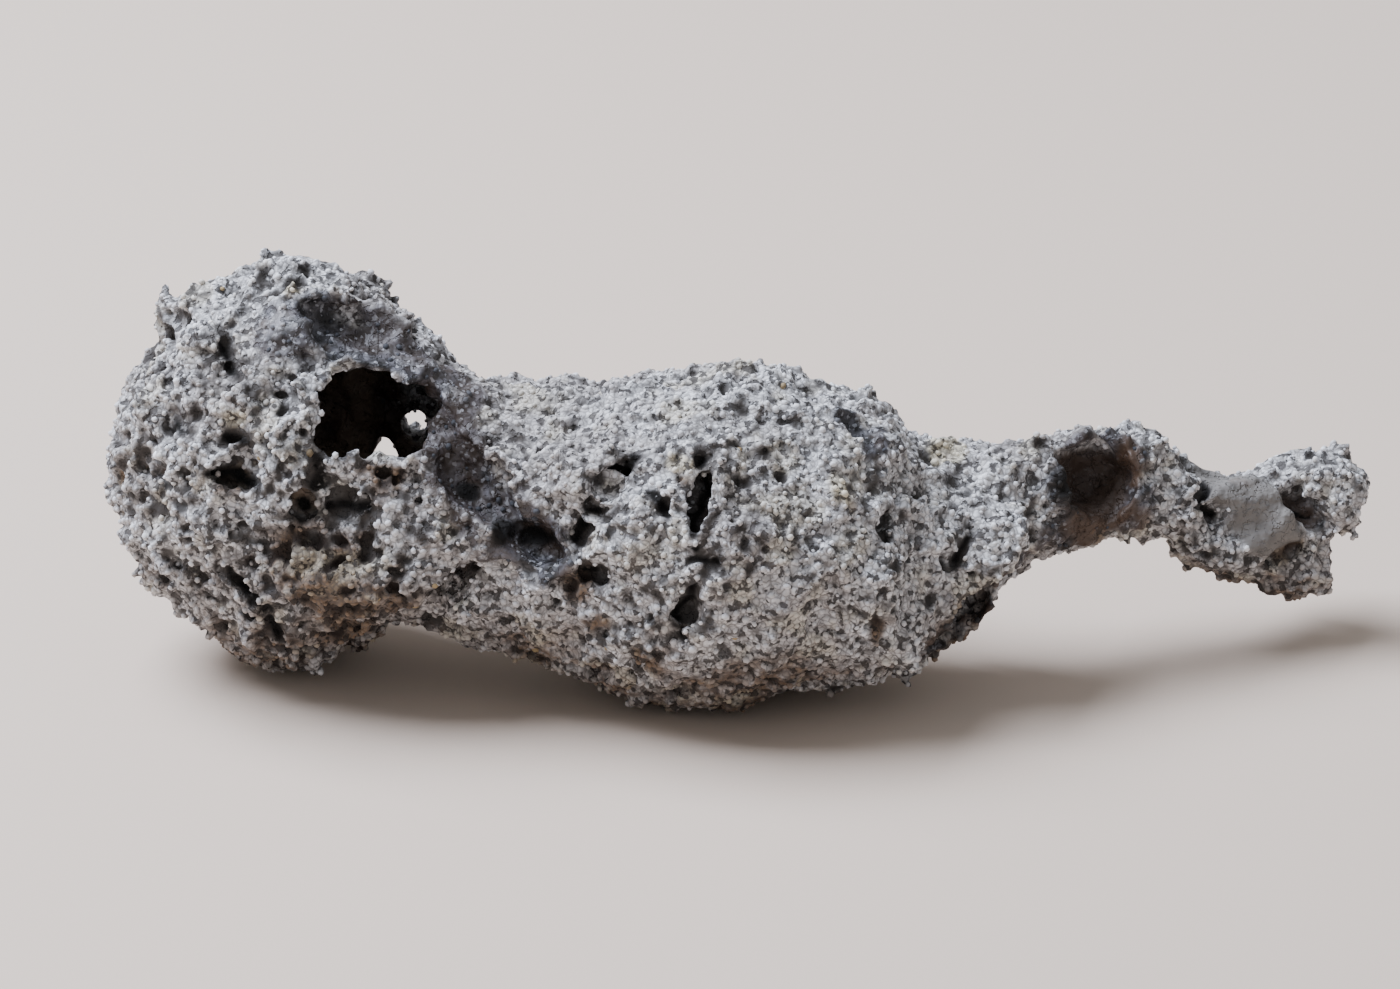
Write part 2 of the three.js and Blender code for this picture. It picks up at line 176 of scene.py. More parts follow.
# Cooling cracks and slots: half-width in mm, and the middle line as places on the tube.
CRACKS = {
    "crack down the belly": (0.46, [(-3.7, 51), (-3.2, 43), (-4.1, 35), (-4.7, 27), (-4.5, 18)]),
    "its branch": (0.46, [(-8.8, 38), (-7.0, 30), (-4.7, 31)]),
    "its end": (0.42, [(-4.7, 4), (-4.9, -4), (-6.2, -11), (-5.9, -17)]),
    "cross crack": (0.42, [(-4.9, 14), (-2.1, 13)]),
    "crack by the channel": (0.68, [(-10.2, 52), (-11.6, 44), (-12.9, 36), (-15.9, 18)]),
    "crack on the shoulder": (0.50, [(14.6, 40), (13.4, 27), (14.2, 20)]),
    "crack by the belly's corner": (0.46, [(21.1, 26), (19.9, 8)]),
    "crack across the tail": (0.55, [(43.0, 82), (44.2, 56), (43.4, 30), (45.1, 22)]),
    "fold across the tip": (0.45, [(51.4, 60), (53.4, 38), (55.4, 4)]),
    "slit beside the tongue": (0.55, [(-39.4, 28), (-39.8, 22), (-39.4, 17), (-40.0, 12)]),
    "pit under the tongue": (0.65, [(-41.3, 6), (-41.0, 4)]),
    "hollow in the bulb's face": (0.58, [(-49.8, 14), (-47.6, 15), (-45.6, 12)]),
    "slot in the bulb's face": (0.50, [(-39.2, 5), (-37.3, 5), (-35.1, 5)]),
    "slot on the bulb's brow": (0.55, [(-49.0, 61), (-47.5, 49)]),
    "crease under the bulb": (0.60, [(-32.1, -40), (-29.2, -26), (-25.9, -9)]),
    "gap low on the bulb": (0.70, [(-47.8, -20), (-46.2, -25), (-44.5, -29)]),
    "lower gap on the bulb": (0.60, [(-44.4, -34), (-43.9, -42)]),
    "gap on the bulb's side": (0.60, [(-55.6, 14), (-54.4, 6)]),
    "upper gap on the bulb's side": (0.60, [(-53.8, 37), (-52.4, 29)]),
    "gap beside the yellow grains": (0.60, [(-48.3, 27), (-46.8, 25)]),
    "pit by the channel": (0.40, [(-14.8, 4), (-13.6, 4)]),
}

# Lumps of crust, each a place on the tube, the depth under its skin and the radius in mm.
LUMPS = {
    "lower rim of the bulb's break": [
        (-38.6, 20.0, 0.9, 1.7),
        (-36.4, 20.5, 0.9, 1.6),
        (-34.2, 20.5, 0.9, 1.6),
        (-32.3, 20.0, 1.0, 1.5),
    ],
    "left rim of the bulb's break": [
        (-40.7, 40.0, 1.0, 1.7),
        (-40.5, 33.0, 0.8, 1.8),
        (-40.3, 26.5, 0.9, 1.7),
    ],
    "tongue beside the break": [
        (-42.6, 31.0, 0.6, 1.8),
        (-42.2, 22.0, 0.4, 1.8),
        (-42.6, 14.0, 0.5, 1.7),
        (-43.6, 26.0, 0.5, 1.8),
        (-43.9, 19.0, 0.5, 1.7),
    ],
    "rim of the hole in the bulb's back": [(-30.5, 183.0, 2.0, 1.62)],
    "top of the bulb, left": [(-48.8, 92.0, 2.0, 3.0), (-51.0, 90.0, 1.8, 3.0)],
    "left end of the scoop": [
        (-41.6, 62.0, 1.4, 1.6),
        (-40.8, 56.0, 1.3, 1.5),
        (-42.4, 69.0, 1.0, 1.4),
    ],
    "top of the bulb, right": [(-40.2, 96.0, 1.9, 3.2), (-37.6, 94.0, 1.9, 3.0)],
    "lower rim of the tail's break": [(29.9, 20.0, 0.4, 1.3)],
}

# Pale stains in the crust, brown ones, and dark places, which are painted shade in breaks, hollows and
# pits but for one dark grain: place on the tube and radius in mm.
PALE_SPOTS = {
    "cream patch by the tail": (19.3, 96, 2.2),
    "cream lump between the cracks": (-5.7, 48, 1.9),
    "yellow grains on the brow": (-42.8, 76, 1.4),
    "yellow grains on the bulb's side": (-47.6, 31, 1.5),
    "yellow grains on the belly": (9.5, 38, 2.2),
}
BROWN_SPOTS = {
    "soil under the bulb's lobe": (-39.6, -14, 8.5),
    "soil by the crease": (-33.0, -24, 6.0),
    "soil at the bulb's foot": (-37.0, -40, 7.0),
    "soil in the face's hollow": (-47.6, 13, 2.6),
    "soil beside the break": (-34.0, 14, 3.2),
    "brown grain in the cream lump": (-5.5, 41, 0.8),
    "brown grains low on the belly": (12.7, -16, 1.8),
    "rust low on the neck": (-13.7, -17, 2.2),
    "rust under the belly": (-8.5, -30, 3.0),
    "dark soil by the channel": (-15.5, 0, 3.0),
    "brown wall of the tail's break": (35.6, 34, 4.6),
    "brown ridges under the tail": (34.0, -8, 6.5),
    "brown wall under the belly": (21.6, -40, 6.0),
    "brown hollow over the lip": (52.0, -7, 3.0),
}
DARK_SPOTS = {
    "depth of the tail's break": (31.4, 28, 4.6),
    "roof of the tail's break": (32.0, 43, 3.0),
    "depth of the break under the belly": (20.6, -44, 4.4),
    "deep end of the channel": (-19.4, 11, 2.2),
    "middle of the channel": (-22.2, 17, 2.4),
    "head of the channel": (-25.2, 27, 2.0),
    "hollow in the bulb's face": (-47.4, 15, 1.8),
    "knob's dark grain": (-55.6, 88, 1.2),
    "pit in the belly's shoulder": (11.4, 70, 1.4),
}

# The fused crust's pieces: where each starts and ends along X in the frame, in mm.
STRETCHES = {
    "crust_of_the_bulb_end": (-70.0, -46.03),
    "crust_of_the_bulb": (-46.03, -34.07),
    "crust_of_the_neck": (-34.07, -17.03),
    "crust_of_the_belly": (-17.03, 2.07),
    "crust_of_the_shoulder": (2.07, 20.03),
    "crust_of_the_tail": (20.03, 70.0),
}
SEEDS_APART = 20  # between one stretch's random draws and the next one's

# What every colour setting has in common.
COLOUR = {"subtype": "COLOR", "size": 3, "min": 0, "max": 1}


class FusedCrustSettings(bpy.types.PropertyGroup):
    """The one fused body."""

    facet: FloatProperty(
        name="Facet",
        description="Length of the crust's facets",
        default=0.275 * MM,
        min=0.2 * MM,
        unit="LENGTH",
    )
    clump_width: FloatProperty(
        name="Clump width",
        description="Spacing of the clumps of grains",
        default=2.7 * MM,
        unit="LENGTH",
    )
    clump_height: FloatProperty(
        name="Clump height",
        description="How far a clump stands out",
        default=1.0 * MM,
        unit="LENGTH",
    )
    pit_depth: FloatProperty(
        name="Pit depth",
        description="Depth of the wormy gaps between the grains",
        default=0.75 * MM,
        unit="LENGTH",
    )
    recess: FloatProperty(
        name="Recess",
        description="How deep the dark floor lies under the grains",
        default=0.55 * MM,
        unit="LENGTH",
    )
    crust_colour: FloatVectorProperty(
        name="Crust", description="Fused sand", default=(0.66, 0.65, 0.65), **COLOUR
    )
    # The gap colour is dark glass, and it also stands in for the shade deep in the gaps: painted
    # shade.
    gap_colour: FloatVectorProperty(
        name="Gaps",
        description="Shaded gaps between the grains",
        default=(0.062, 0.056, 0.052),
        **COLOUR,
    )
    glass_colour: FloatVectorProperty(
        name="Bore glass",
        description="Dark glass that lines the hollow",
        default=(0.042, 0.040, 0.041),
        **COLOUR,
    )


class SandGrainSettings(bpy.types.PropertyGroup):
    """The sand grains that melted into the crust, and the smaller ones that stick to it."""

    melted_width: FloatProperty(
        name="Melted width",
        description="Mean width of a melted grain",
        default=0.78 * MM,
        unit="LENGTH",
    )
    melted_spacing: FloatProperty(
        name="Melted spacing",
        description="Least distance between two melted grains",
        default=0.60 * MM,
        unit="LENGTH",
    )
    loose_width: FloatProperty(
        name="Loose width",
        description="Mean width of a small grain",
        default=0.52 * MM,
        unit="LENGTH",
    )
    loose_spacing: FloatProperty(
        name="Loose spacing",
        description="Least distance between two small grains",
        default=0.98 * MM,
        unit="LENGTH",
    )
    seed: IntProperty(name="Seed", description="Which way the grains fell", default=4)


class StageSettings(bpy.types.PropertyGroup):
    """Floor, lights and camera."""

    floor_colour: FloatVectorProperty(
        name="Floor", description="Plain pale floor", default=(0.62, 0.51, 0.42), **COLOUR
    )
    key_power: FloatProperty(
        name="Key light", description="Power of the soft box", default=14.2, unit="POWER"
    )
    sky: FloatProperty(name="Sky", description="Strength of the even light", default=0.55)
    camera_lens: FloatProperty(
        name="Lens", description="Focal length in mm", default=300.0, subtype="DISTANCE_CAMERA"
    )


def linear(colour_hex):
    """An sRGB hex colour as linear red, green, blue, alpha."""
    parts = [int(colour_hex[i : i + 2], 16) / 255 for i in (1, 3, 5)]
    return [c / 12.92 if c <= 0.04045 else ((c + 0.055) / 1.055) ** 2.4 for c in parts] + [1.0]


def add(tree, kind, inputs=None, **settings):
    """One node with its settings; an input is a value or the socket that feeds it."""
    node = tree.nodes.new(kind)
    for key, value in settings.items():
        setattr(node, key, value)
    for key, value in (inputs or {}).items():
        if isinstance(value, bpy.types.NodeSocket):
            tree.links.new(value, node.inputs[key])
        else:
            node.inputs[key].default_value = value
    return node


def vertex_vectors(mesh, kind):
    """The places ("co") or the normals ("normal") of a mesh's vertices, one in each row."""
    values = np.empty(len(mesh.vertices) * 3, np.float32)
    mesh.vertices.foreach_get(kind, values)
    return values.reshape(-1, 3).astype(float)


def smooth_step(low, high, value):
    """0 up to low, 1 from high on, and a soft rise between them."""
    t = np.clip((value - low) / (high - low), 0, 1)
    return t * t * (3 - 2 * t)


def chance(cell, seed):
    """A repeatable number from 0 to 1 for each whole-number cell."""
    x, y, z = (cell[:, i].astype(np.int64).astype(np.uint32) for i in range(3))
    h = x * np.uint32(374761393) + y * np.uint32(668265263) + z * np.uint32(2246822519)
    h += np.uint32(seed * 1013904223 % 4294967296)
    h = (h ^ (h >> np.uint32(13))) * np.uint32(1274126177)
    h = (h ^ (h >> np.uint32(15))) * np.uint32(2654435761)
    return (h ^ (h >> np.uint32(16))) / 4294967296.0


def cloud(at, size, seed):
    """Smooth noise from -1 to 1 whose features are about size across."""
    q = at / size
    cell = np.floor(q)
    t = q - cell
    t = t * t * (3 - 2 * t)
    total = np.zeros(len(at))
    for corner in itertools.product((0, 1), repeat=3):
        weight = np.prod(np.where(corner, t, 1 - t), axis=1)
        total += weight * chance(cell + corner, seed)
    return 2 * total - 1


def noise(at, name):
    """One of the crust's named noises."""
    return cloud(at, *NOISES[name])


def beads(at, size, seed):
    """Domes packed about size apart: 1 on top of a dome, 0 in the crease between two."""
    q = at / size
    cell = np.floor(q)
    first = np.full(len(at), 9.0)
    second = np.full(len(at), 9.0)
    for step in itertools.product((-1, 0, 1), repeat=3):
        other = cell + step
        middle = other + np.stack([chance(other, seed + k) for k in range(3)], axis=1)
        far = np.linalg.norm(q - middle, axis=1)
        second = np.minimum(second, np.maximum(first, far))
        first = np.minimum(first, far)
    return np.clip((second - first) * 1.6, 0, 1) ** 0.6


def tube_shape(x):
    """The middle line's y and z, the half-height and the share of depth at a place along the tube."""
    return [np.interp(x, TUBE[:, 0], TUBE[:, k]) for k in range(1, 5)]


def tube_place(at):
    """Each point's angle round the tube in degrees, and its depth under the crust in mm."""
    p = at - SOLID_SHIFT
    y, z, half, deep = tube_shape(p[:, 0])
    across, up = -(p[:, 1] - y) / deep, p[:, 2] - z
    return np.degrees(np.arctan2(up, across)), half - np.hypot(across, up)


def crust_point(x, angle):
    """The point of the frame on the smooth tube at a place along and round it, in mm."""
    y, z, half, deep = tube_shape(x)
    a = np.radians(angle)
    return np.stack([x, y - deep * half * np.cos(a), z + half * np.sin(a)], axis=-1) + SOLID_SHIFT


def on_skin(at):
    """Each point moved straight out or in to the smooth tube, so that a stain reaches into a pit."""
    return crust_point(at[:, 0] - SOLID_SHIFT[0], tube_place(at)[0])


def near_spot(at, x, angle, radius):
    """1 in the middle of a spot on the crust, 0 at its edge, and less beyond."""
    return 1 - np.linalg.norm(at - crust_point(x, angle), axis=1) / radius


def far_from_path(at, places):
    """Each point's distance from a line through places on the crust, in mm."""
    ends = [crust_point(x, angle) for x, angle in places]
    far = np.full(len(at), 99.0)
    for a, b in zip(ends, ends[1:]):
        along = b - a
        share = np.clip((at - a) @ along / (along @ along), 0, 1)
        far = np.minimum(far, np.linalg.norm(at - a - share[:, None] * along, axis=1))
    return far


def near_paths(at, paths):
    """1 on the nearest of some paths over the crust, 0 at its edge and beyond."""
    return largest(1 - far_from_path(at, places) / half_width for half_width, places in paths.values())


def near_spots(at, spots):
    """1 in the middle of the nearest of some spots, 0 at its edge and beyond."""
    return largest(near_spot(at, *spot) for spot in spots.values())


def largest(values):
    """The largest of some arrays at each point, kept from 0 to 1."""
    return np.clip(np.maximum.reduce(list(values)), 0.0, 1)


def keep_value(mesh, name, values):
    """Keeps a number for each vertex under a name that a material or a tree can read."""
    mesh.attributes.new(name, "FLOAT", "POINT").data.foreach_set("value", values.astype(np.float32))


def new_object(name, data):
    """An object in the scene, of a mesh, a light or a camera."""
    made = bpy.data.objects.new(name, data)
    bpy.context.scene.collection.objects.link(made)
    return made


def baked(source, name):
    """A plain mesh object of what an object's modifiers give, in place of that object."""
    bpy.context.view_layer.update()
    depsgraph = bpy.context.evaluated_depsgraph_get()
    mesh = bpy.data.meshes.new_from_object(source.evaluated_get(depsgraph))
    mesh.name = name
    bpy.data.objects.remove(source)
    return new_object(name, mesh)


def rounded_solid():
    """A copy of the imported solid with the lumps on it, cut into even facets and smoothed."""
    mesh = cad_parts[NODE].data.copy()
    merged = bmesh.new()
    merged.from_mesh(mesh)
    bmesh.ops.remove_doubles(merged, verts=merged.verts, dist=1e-6)
    for x, angle, depth, radius in itertools.chain(*LUMPS.values()):
        out = np.array([0, -math.cos(math.radians(angle)), math.sin(math.radians(angle))])
        middle = Matrix.Translation((crust_point(x, angle) - depth * out) * MM)
        bmesh.ops.create_icosphere(merged, subdivisions=2, radius=radius * MM, matrix=middle)
    merged.to_mesh(mesh)
    merged.free()
    copy = new_object("crust_blank", mesh)
    remesh = copy.modifiers.new("even facets", "REMESH")
    remesh.mode, remesh.voxel_size, remesh.use_smooth_shade = "VOXEL", BLANK_FACET * MM, True
    smooth = copy.modifiers.new("rounding", "SMOOTH")
    smooth.factor, smooth.iterations = 0.5, BLANK_SMOOTHING
    return baked(copy, "crust_blank")


def stirred(at, size, by, seed):
    """Points moved aside by smooth noise, which makes an even pattern wander."""
    return at + by * np.stack([cloud(at, size, seed + k) for k in range(3)], axis=1)


def bare_glass(at):
    """1 where dark bore glass lies bare, 0 where sand covers it, and how deep in the hollow it is."""
    depth = tube_place(at)[1]
    bare = near_paths(stirred(on_skin(at), *STAIN_WANDER), GLASSY)
    bare = bare + 0.22 * noise(at, "edge of bare glass")
    bare = smooth_step(0.05, 0.35, bare) * smooth_step(-1.2, -0.1, depth)
    # The wall's outer 1.6 to 3.2 mm are sand, and more of it where the tube is fat.
    half = tube_shape(at[:, 0] - SOLID_SHIFT[0])[2]
    wall = np.clip(0.3 * half, 1.6, 3.2)
    inside = smooth_step(wall, wall + 1.4, depth + 0.5 * noise(at, "thickness of the wall"))
    return np.maximum(inside, bare), inside


def bare_plate(skin):
    """1 where a smooth plate lies bare of grains."""
    return smooth_step(0.05, 0.35, near_paths(stirred(skin, *STAIN_WANDER), PLATES))


def beyond_cracks(wander):
    """How far each point is past the edge of the nearest crack, in mm; below 0 it is in the crack."""
    return np.minimum.reduce([far_from_path(wander, line) - half for half, line in CRACKS.values()])


def sink_floor(mesh, crust):
    """Turns the blank into the dark floor that the grains melted onto, and keeps where grains lie.

    Returns the outline that the grains reach: the floor's vertices before they were sunk.
    """
    at, out = vertex_vectors(mesh, "co") / MM, vertex_vectors(mesh, "normal")
    glass, inside = bare_glass(at)
    skin = on_skin(at)
    bare = np.maximum(glass, bare_plate(skin))
    open_crust = 1 - bare
    wander = stirred(skin, *CRACK_WANDER)
    clump = beads(stirred(at, *CLUMP_WANDER), crust.clump_width / MM, CLUMP_SEED)
    rough_glass = 1.3 * noise(at, "lumps in the glass") + noise(at, "ripples in the glass")
    rough_glass += 0.6 * noise(at, "specks in the glass")
    half_width, places = GLASSY["ridges under the tail's break"]
    ridged = smooth_step(0.0, 0.5, 1 - far_from_path(skin, places) / half_width)
    across = 2 * np.pi * (at @ RIDGE_WAY) / RIDGE_SPACING
    ridge = np.sin(across + 2.5 * noise(at, "bends of the ridges"))

    clumps = crust.clump_height / MM * (clump - CLUMP_LEVEL)
    rise = open_crust * (clumps + SWELL_HEIGHT * noise(at, "broad swells"))
    rise += glass * (GLASS_HEIGHT * rough_glass + RIDGE_HEIGHT * (1 - inside) * ridged * ridge)
    reach = at + out * rise[:, None]

    # Worm-like gaps and round holes between the grains: most on the bulb and where soil clings.
    on_bulb = smooth_step(*BULB_EDGE, at[:, 0])
    soiled = smooth_step(0.0, 0.4, near_spots(wander, BROWN_SPOTS))
    pitted = smooth_step(-0.25, 0.35, noise(at, "pitted patches") + 0.45 * on_bulb + soiled)
    along_worm = np.abs(noise(stirred(at, *WORM_WANDER), "worm-like gaps"))
    worm = 1 - smooth_step(0.07, 0.18, along_worm)
    hole = smooth_step(0.54, 0.66, noise(at, "round holes") + 0.10 * on_bulb + 0.15 * soiled)
    broad = smooth_step(0.60, 0.72, noise(at, "broad pits") + 0.2 * soiled) * on_bulb
    crease = (1 - smooth_step(0.0, 0.20, clump)) * (0.30 + 0.40 * on_bulb)
    pit = np.maximum.reduce([worm * pitted, hole, broad, crease]) * open_crust
    from_edge = beyond_cracks(wander)
    split = 1 - smooth_step(-0.40, 0.10, from_edge)
    deepest = np.maximum(pit, CRACK_DEPTH * split)
    sunk = open_crust * crust.recess / MM + crust.pit_depth / MM * deepest
    floor = reach - out * sunk[:, None]
    mesh.vertices.foreach_set("co", (floor * MM).astype(np.float32).ravel())
    mesh.update()

    # Grains lie on what is left: not on bare glass, in a crack or a pit, or where the piece rests.
    cover = (1 - smooth_step(0.2, 0.7, bare)) * smooth_step(0.25, 0.52, from_edge) * (1 - inside)
    cover *= (1 - smooth_step(0.25, 0.6, pit)) * smooth_step(*MELTED_GRAINS_START, floor[:, 2])
    keep_value(mesh, "cover", np.clip(cover, 0, 1))
    return reach


def mark_crust(mesh, reach):
    """Keeps on the mesh what its material and the loose grains need, each from 0 to 1."""
    at, out = vertex_vectors(mesh, "co") / MM, vertex_vectors(mesh, "normal")
    # How deep each vertex lies under the outline that the grains reach, in mm.
    under = np.empty(len(at))
    for vertex, point in enumerate(at.tolist()):
        nearest, normal = reach.find_nearest(point)[:2]
        under[vertex] = (nearest - Vector(point)).dot(normal)
    glass, inside = bare_glass(at)
    skin = on_skin(at)
    wavy = stirred(skin, *STAIN_WANDER)
    plate = bare_plate(skin)
    # The deeper a vertex lies in a gap, the more it takes the gap colour: dark glass with painted
    # shade.
    gap = smooth_step(0.05, 0.62, under + 0.1 * noise(at, "edge of a gap")) * (1 - glass)
    # high: the tops of the nubs, over the gaps, which the material paints with a highlight.
    high = 1 - smooth_step(-0.32, 0.05, under)
    from_edge = beyond_cracks(stirred(skin, *CRACK_WANDER))

    # Brown soil clings in the named places and inside; low down, and most on what faces down, the same
    # brown is painted warm bounce light from the floor.
    below = 1 - smooth_step(-0.80, 0.25, out[:, 2])
    brown = near_spots(wavy, BROWN_SPOTS) + 0.35 * noise(at, "edge of the soil") - 0.05
    low = (1 - smooth_step(6.0, 17.0, at[:, 2])) * smooth_step(-0.9, 0.3, noise(at, "painted bounce low down"))
    dusty = noise(at, "patches of dust") + 0.4 * noise(at, "flecks of dust")
    soil = np.maximum.reduce(
        [
            smooth_step(0.0, 0.6, brown),
            0.35 * smooth_step(0.0, 0.6, dusty),
            0.5 * below * low + 0.52 * low,
            0.8 * inside,
        ]
    )
    # Pale stains lie in the named places and in faint patches, and patches of painted light lie in the
    # bulb's hollow.
    light = near_spots(wavy, PALE_SPOTS) + 0.3 * noise(at, "edge of a pale stain") - 0.05
    patches = smooth_step(0.30, 0.65, noise(at, "pale patches")) * 0.5
    pale = np.maximum(smooth_step(0.0, 0.5, light), patches) * (1 - glass)
    dust = smooth_step(-0.5, 0.4, noise(at, "painted light in the hollow"))
    dust *= smooth_step(*HOLLOW_EDGE, at[:, 0])
    pale = np.maximum(pale, 0.85 * inside * dust)
    # It is dark in the named places and in the cracks.
    # Painted shade darkens the named breaks, hollows and pits and the depths of the cracks; one named
    # place is a dark grain.
    shade = near_spots(wavy, DARK_SPOTS) + 0.25 * noise(at, "edge of a dark place")
    split = (1 - smooth_step(-0.25, 0.20, from_edge)) * smooth_step(0.2, 0.7, under)
    # The tail is solid behind its break, so painted shade darkens its depth; the bulb is truly hollow.
    tail_depth = 0.35 * inside * smooth_step(*TAIL_START, at[:, 0])
    dark = np.maximum.reduce([smooth_step(0.0, 0.6, shade), split, tail_depth])
    # Loose grains stick wherever there is crust, and thinly on bare glass.
    sand = (1 - gap) * (1 - 0.75 * glass) * (1 - inside) * (1 - plate)
    sand *= smooth_step(*LOOSE_GRAINS_START, at[:, 2])
    marks = {
        "glass": glass,
        "plate": plate,
        "gap": gap,
        "soil": soil,
        "pale": pale,
        "dark": dark,
        "sand": sand,
        "high": high,
    }
    for name, values in marks.items():
        keep_value(mesh, name, np.clip(values, 0, 1))


def stretch_of(crust, name, start, end):
    """The part of the crust between two places along it, closed with flat walls inside the body."""
    part = bmesh.new()
    part.from_mesh(crust.data)
    for x, side in ((start, -1), (end, 1)):
        cut = bmesh.ops.bisect_plane(
            part,
            geom=[*part.verts, *part.edges, *part.faces],
            plane_co=(x * MM, 0, 0),
            plane_no=(side, 0, 0),
            clear_outer=True,
        )
        rim = [piece for piece in cut["geom_cut"] if isinstance(piece, bmesh.types.BMEdge)]
        if rim:
            wall = bmesh.ops.triangle_fill(part, edges=rim, use_beauty=False, normal=(side, 0, 0))
            for piece in wall["geom"]:
                if isinstance(piece, bmesh.types.BMFace):
                    piece.smooth = False
    mesh = bpy.data.meshes.new(name)
    part.to_mesh(mesh)
    part.free()
    return new_object(name, mesh)


def value_of(tree, name):
    """What the mesh keeps under a name, for a material."""
    return add(tree, "ShaderNodeAttribute", attribute_name=name).outputs["Fac"]


def number(tree, kind, *values):
    """One number worked out from others."""
    return add(tree, "ShaderNodeMath", dict(enumerate(values)), operation=kind).outputs[0]


def new_material(name):
    """An empty material and its tree."""
    material = bpy.data.materials.new(name)
    material.use_nodes = True
    material.node_tree.nodes.clear()
    return material, material.node_tree


def mixed(tree, share, first, second):
    """The colour between two colours by a share from 0 to 1."""
    node = add(tree, "ShaderNodeMix", {"Factor": share, 6: first, 7: second}, data_type="RGBA")
    return node.outputs[2]


def sand_colour(tree, tone, crust_colour):
    """Fused sand: light grey, with each grain's own tone, browner where soil clings to it and where
    warm bounce light is painted low down.
    """
    place = add(tree, "ShaderNodeTexCoord").outputs["Object"]
    cloudy = add(tree, "ShaderNodeTexNoise", {"Vector": place, "Scale": SAND_CLOUDS, "Detail": 3.0})
    light = mixed(tree, tone, linear("#bdbbba"), linear("#eeeff3"))
    light = mixed(tree, cloudy.outputs["Fac"], light, [*crust_colour, 1.0])
    # Nub tops get a painted highlight, lighter than the sand's own tone.
    light = mixed(tree, value_of(tree, "high"), light, linear("#fafafd"))
    # The soil's brown also holds the painted warm bounce light low down.
    stained = mixed(tree, value_of(tree, "soil"), light, linear("#776351"))
    return mixed(tree, value_of(tree, "pale"), stained, linear("#d3cab4"))


def ranged(tree, value, low, high, to_low, to_high):
    """A value between two limits carried over to two others."""
    limits = {"From Min": low, "From Max": high, "To Min": to_low, "To Max": to_high}
    return add(tree, "ShaderNodeMapRange", {"Value": value, **limits}).outputs["Result"]


def finish_material(tree, colour, rough, height, distance):
    """A surface of fused quartz, whose IOR is 1.46, with a bump from a height."""
    bump = add(tree, "ShaderNodeBump", {"Strength": 0.8, "Distance": distance, "Height": height})
    looks = {"Base Color": colour, "Roughness": rough, "Normal": bump.outputs["Normal"], "IOR": 1.46}
    shader = add(tree, "ShaderNodeBsdfPrincipled", looks)
    add(tree, "ShaderNodeOutputMaterial", {"Surface": shader.outputs["BSDF"]})


